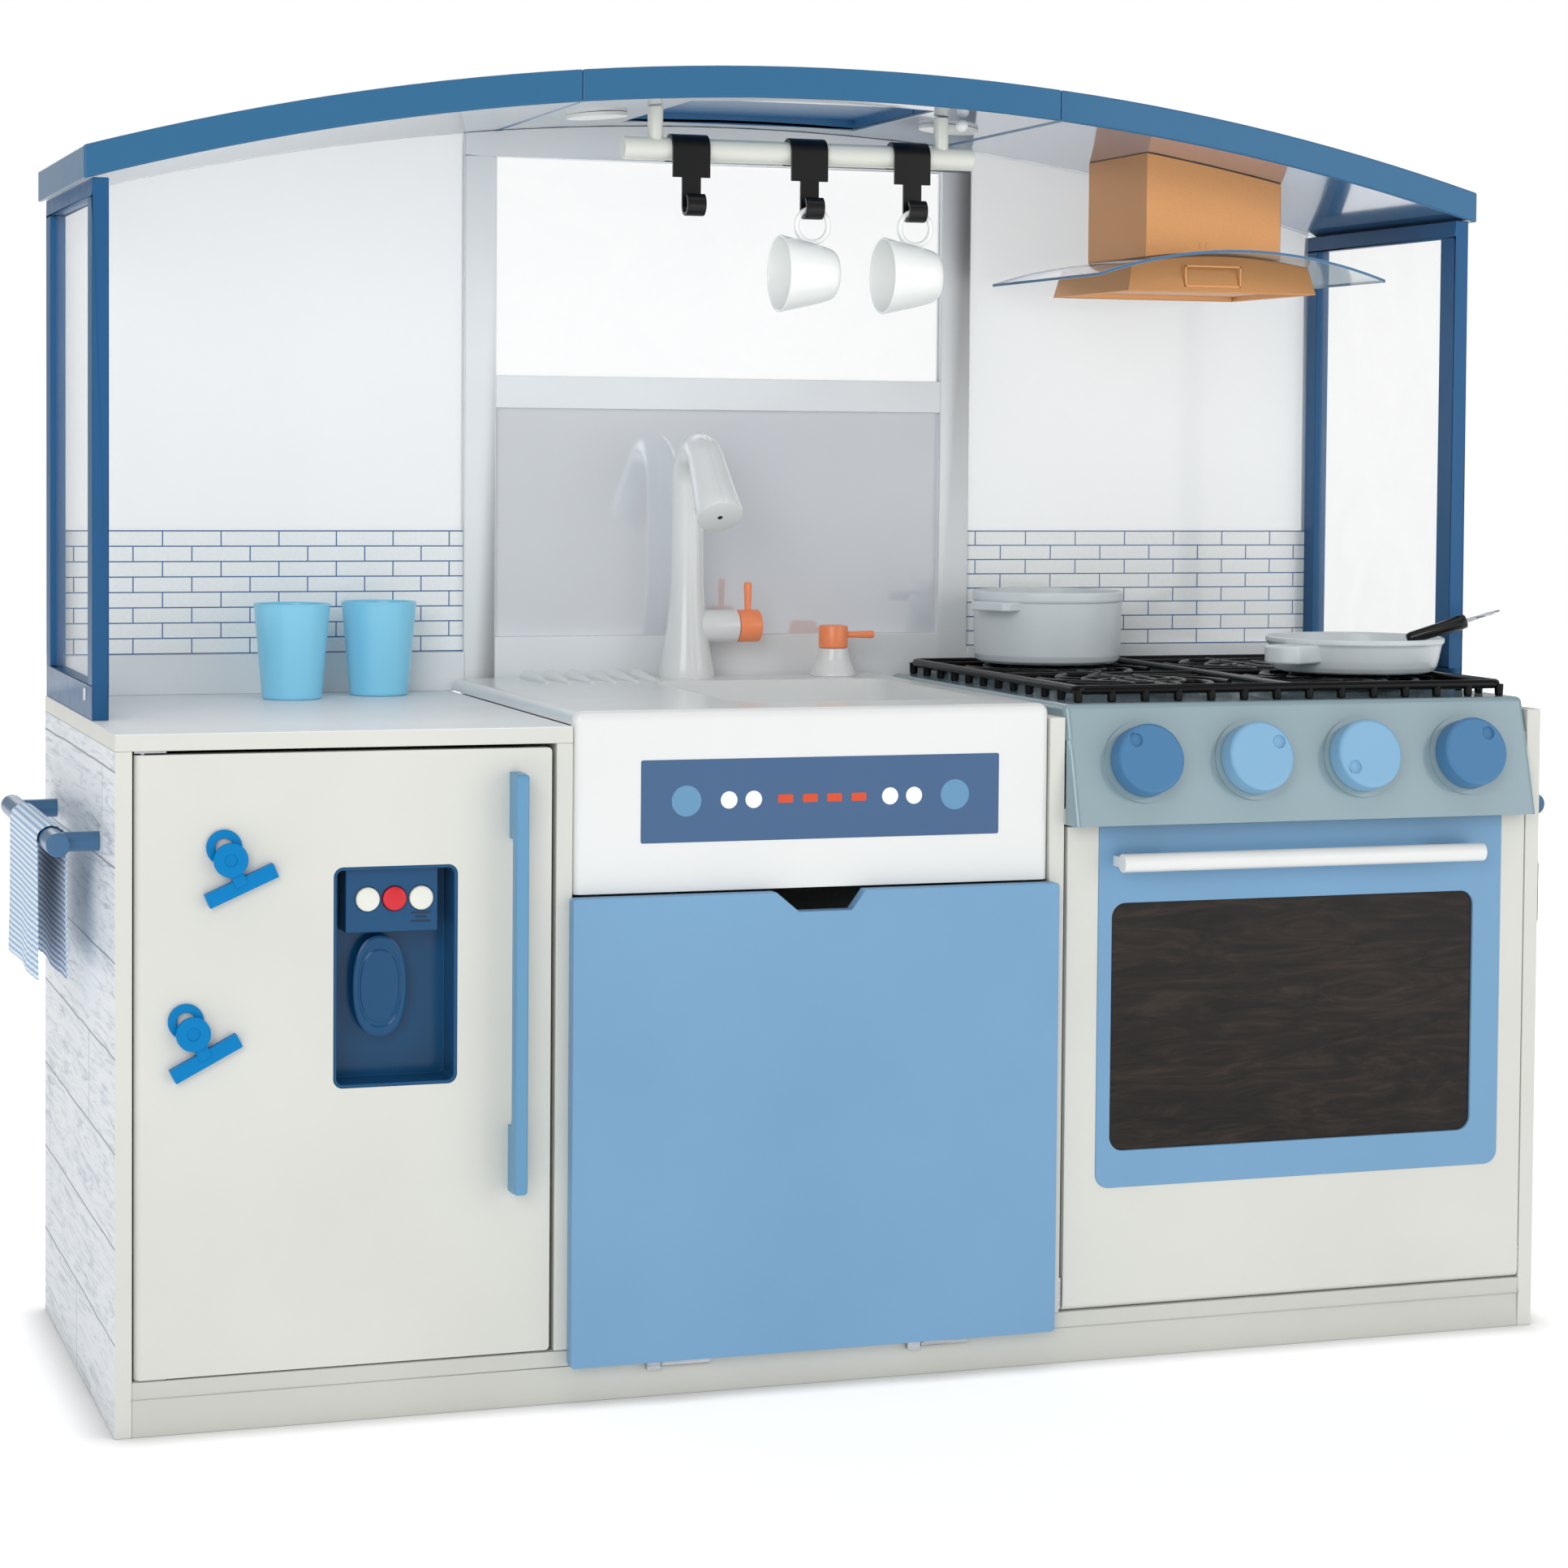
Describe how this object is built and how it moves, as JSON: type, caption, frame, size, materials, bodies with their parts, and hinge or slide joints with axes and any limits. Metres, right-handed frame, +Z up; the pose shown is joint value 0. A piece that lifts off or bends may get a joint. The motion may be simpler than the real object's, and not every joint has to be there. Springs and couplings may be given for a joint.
{
  "type": "toy kitchen",
  "caption": "Child's play kitchen: fridge with dispenser, sink over a dishwasher, stove with oven, arched roof on clear windows, range hood and play ware.",
  "frame": {"origin": "on the floor under the centre of the overall box", "axes": "+Z up, the doors and knobs face -Y, the fridge is at -X and the stove at +X"},
  "size_m": [1.1909, 0.4246, 0.9765],
  "materials": {
    "cream_board": "satin painted board",
    "plank_board": "printed whitewashed planks",
    "sky_board": "satin painted board",
    "white_board": "satin painted board",
    "blue_board": "satin painted board",
    "roof_blue": "satin moulded plastic",
    "soffit_grey": "glossy",
    "white_plastic": "glossy moulded plastic",
    "lamp_white": "translucent",
    "orange_plastic": "glossy moulded plastic",
    "stove_blue": "glossy moulded plastic",
    "knob_dark": "satin moulded plastic",
    "knob_light": "satin moulded plastic",
    "grate_black": "glossy moulded plastic",
    "navy_plastic": "glossy moulded plastic",
    "button_white": "satin",
    "button_red": "satin",
    "handle_blue": "satin moulded plastic",
    "clip_blue": "satin moulded plastic",
    "clear_sheet": "clear acrylic sheet",
    "print_sheet": "clear sheet with a printed tile band",
    "mirror_sheet": "mirror film",
    "dark_glass": "smoked acrylic",
    "copper_plastic": "metallic copper",
    "visor_sheet": "clear blue acrylic",
    "rail_cream": "satin moulded plastic",
    "black_plastic": "satin moulded plastic",
    "mug_white": "glossy moulded plastic",
    "cup_blue": "glossy moulded plastic",
    "pan_grey": "satin moulded plastic",
    "turner_black": "glossy grip with a metallic blade",
    "hinge_steel": "plated",
    "rail_blue": "satin",
    "towel_cloth": "woven cotton"
  },
  "bodies": {
    "carcass": {"left_side_panel": "plank_board", "right_side_panel": "cream_board", "base_boards": "cream_board", "inner_boards": "cream_board", "fridge_worktop": "white_board", "back_boards": "cream_board", "hinge_plates": "hinge_steel", "sink_basin": "white_plastic", "faucet_body": "white_plastic", "tap_base": "white_plastic", "stove_top": "stove_blue", "cooktop_grate": "grate_black", "side_window_frames": "blue_board", "centre_frame": "white_board", "mirror_pane": "mirror_sheet", "clear_panes": "clear_sheet", "back_panes": "print_sheet", "roof_left": "roof_blue", "roof_centre": "roof_blue", "roof_right": "roof_blue", "roof_soffits": "soffit_grey", "roof_lamps": "lamp_white", "range_hood": "copper_plastic", "hood_visor": "visor_sheet", "utensil_rail": "rail_cream", "side_rails": "rail_blue", "towel": "towel_cloth", "side_plate": "black_plastic"},
    "fridge_door": {"fridge_door": "cream_board", "fridge_handle": "handle_blue", "dispenser_shell": "navy_plastic", "clip_back_jaws": "clip_blue"},
    "water_button": {"water_button": "button_white"},
    "lock_button": {"lock_button": "button_red"},
    "ice_button": {"ice_button": "button_white"},
    "dispenser_paddle": {"dispenser_paddle": "navy_plastic"},
    "clip_1_jaw": {"clip_1_front_jaw": "clip_blue"},
    "clip_2_jaw": {"clip_2_front_jaw": "clip_blue"},
    "dishwasher_door": {"dishwasher_door": "sky_board", "dishwasher_hinge_leaves": "hinge_steel"},
    "oven_door": {"oven_door": "cream_board", "oven_inset": "sky_board", "oven_window": "dark_glass", "oven_handle": "white_plastic"},
    "knob_1": {"knob_1": "knob_dark"},
    "knob_2": {"knob_2": "knob_light"},
    "knob_3": {"knob_3": "knob_light"},
    "knob_4": {"knob_4": "knob_dark"},
    "faucet_lever": {"faucet_lever": "orange_plastic"},
    "tap_lever": {"tap_lever": "orange_plastic"},
    "hook_1": {"hook_1": "black_plastic"},
    "hook_2": {"hook_2": "black_plastic"},
    "hook_3": {"hook_3": "black_plastic"},
    "mug_1": {"mug_1": "mug_white"},
    "mug_2": {"mug_2": "mug_white"},
    "cup_1": {"cup_1": "cup_blue"},
    "cup_2": {"cup_2": "cup_blue"},
    "pot": {"pot": "pan_grey"},
    "pan": {"pan": "pan_grey"},
    "turner": {"turner": "turner_black"}
  },
  "joints": [
    {"name": "fridge_door_hinge", "type": "hinge", "parent": "carcass", "child": "fridge_door", "pos_m": [-0.53492, -0.17318, 0.25], "axis": [0, 0, -1], "range_deg": [0, 90]},
    {"name": "water_button_press", "type": "slide", "parent": "fridge_door", "child": "water_button", "axis": [0, 1, 0], "range_m": [0, 0.002], "stiffness_N_per_m": 150},
    {"name": "lock_button_press", "type": "slide", "parent": "fridge_door", "child": "lock_button", "axis": [0, 1, 0], "range_m": [0, 0.002], "stiffness_N_per_m": 150},
    {"name": "ice_button_press", "type": "slide", "parent": "fridge_door", "child": "ice_button", "axis": [0, 1, 0], "range_m": [0, 0.002], "stiffness_N_per_m": 150},
    {"name": "paddle_press", "type": "hinge", "parent": "fridge_door", "child": "dispenser_paddle", "pos_m": [-0.36542, -0.15818, 0.339], "axis": [1, 0, 0], "range_deg": [0, 5], "stiffness_Nm_per_rad": 0.05},
    {"name": "clip_1_squeeze", "type": "hinge", "parent": "fridge_door", "child": "clip_1_jaw", "pos_m": [-0.47235, -0.18438, 0.39147], "axis": [-0.9157, 0, -0.4019], "range_deg": [0, 6], "stiffness_Nm_per_rad": 0.05},
    {"name": "clip_2_squeeze", "type": "hinge", "parent": "fridge_door", "child": "clip_2_jaw", "pos_m": [-0.49752, -0.18438, 0.27205], "axis": [-0.8862, 0, -0.4633], "range_deg": [0, 6], "stiffness_Nm_per_rad": 0.05},
    {"name": "dishwasher_door_hinge", "type": "hinge", "parent": "carcass", "child": "dishwasher_door", "pos_m": [-0.04492, -0.18258, 0.0246], "axis": [1, 0, 0], "range_deg": [0, 90]},
    {"name": "oven_door_hinge", "type": "hinge", "parent": "carcass", "child": "oven_door", "pos_m": [0.34818, -0.17318, 0.0449], "axis": [1, 0, 0], "range_deg": [0, 90]},
    {"name": "knob_1_turn", "type": "hinge", "parent": "carcass", "child": "knob_1", "pos_m": [0.21058, -0.18929, 0.4538], "axis": [0, -0.9635, 0.2676], "continuous": true},
    {"name": "knob_2_turn", "type": "hinge", "parent": "carcass", "child": "knob_2", "pos_m": [0.30188, -0.18929, 0.4538], "axis": [0, -0.9635, 0.2676], "continuous": true},
    {"name": "knob_3_turn", "type": "hinge", "parent": "carcass", "child": "knob_3", "pos_m": [0.39327, -0.18929, 0.4538], "axis": [0, -0.9635, 0.2676], "continuous": true},
    {"name": "knob_4_turn", "type": "hinge", "parent": "carcass", "child": "knob_4", "pos_m": [0.48457, -0.18929, 0.4538], "axis": [0, -0.9635, 0.2676], "continuous": true},
    {"name": "faucet_lever_turn", "type": "hinge", "parent": "carcass", "child": "faucet_lever", "pos_m": [0.00358, 0.16682, 0.54], "axis": [1, 0, 0], "range_deg": [-30, 90]},
    {"name": "tap_lever_turn", "type": "hinge", "parent": "carcass", "child": "tap_lever", "pos_m": [0.08758, 0.16382, 0.53], "axis": [0, 0, 1], "range_deg": [-90, 30]},
    {"name": "hook_1_slide", "type": "slide", "parent": "carcass", "child": "hook_1", "axis": [1, 0, 0], "range_m": [-0.004, 0.026]},
    {"name": "hook_2_slide", "type": "slide", "parent": "carcass", "child": "hook_2", "axis": [1, 0, 0], "range_m": [-0.02, 0.015]},
    {"name": "hook_3_slide", "type": "slide", "parent": "carcass", "child": "hook_3", "axis": [1, 0, 0], "range_m": [-0.012, 0.006]},
    {"name": "mug_1_swing", "type": "hinge", "parent": "hook_2", "child": "mug_1", "pos_m": [0.00507, -0.01228, 0.868], "axis": [1, 0, 0], "range_deg": [-15, 15]},
    {"name": "mug_2_swing", "type": "hinge", "parent": "hook_3", "child": "mug_2", "pos_m": [0.09027, -0.01228, 0.868], "axis": [1, 0, 0], "range_deg": [-15, 15]},
    {"name": "cup_1_lift", "type": "slide", "parent": "carcass", "child": "cup_1", "axis": [0, 0, 1], "range_m": [0, 0.1]},
    {"name": "cup_2_lift", "type": "slide", "parent": "carcass", "child": "cup_2", "axis": [0, 0, 1], "range_m": [0, 0.1]},
    {"name": "pot_lift", "type": "slide", "parent": "carcass", "child": "pot", "axis": [0, 0, 1], "range_m": [0, 0.1]},
    {"name": "pan_lift", "type": "slide", "parent": "carcass", "child": "pan", "axis": [0, 0, 1], "range_m": [0, 0.1]},
    {"name": "turner_lift", "type": "slide", "parent": "pan", "child": "turner", "axis": [0, 0, 1], "range_m": [0, 0.06]}
  ]
}
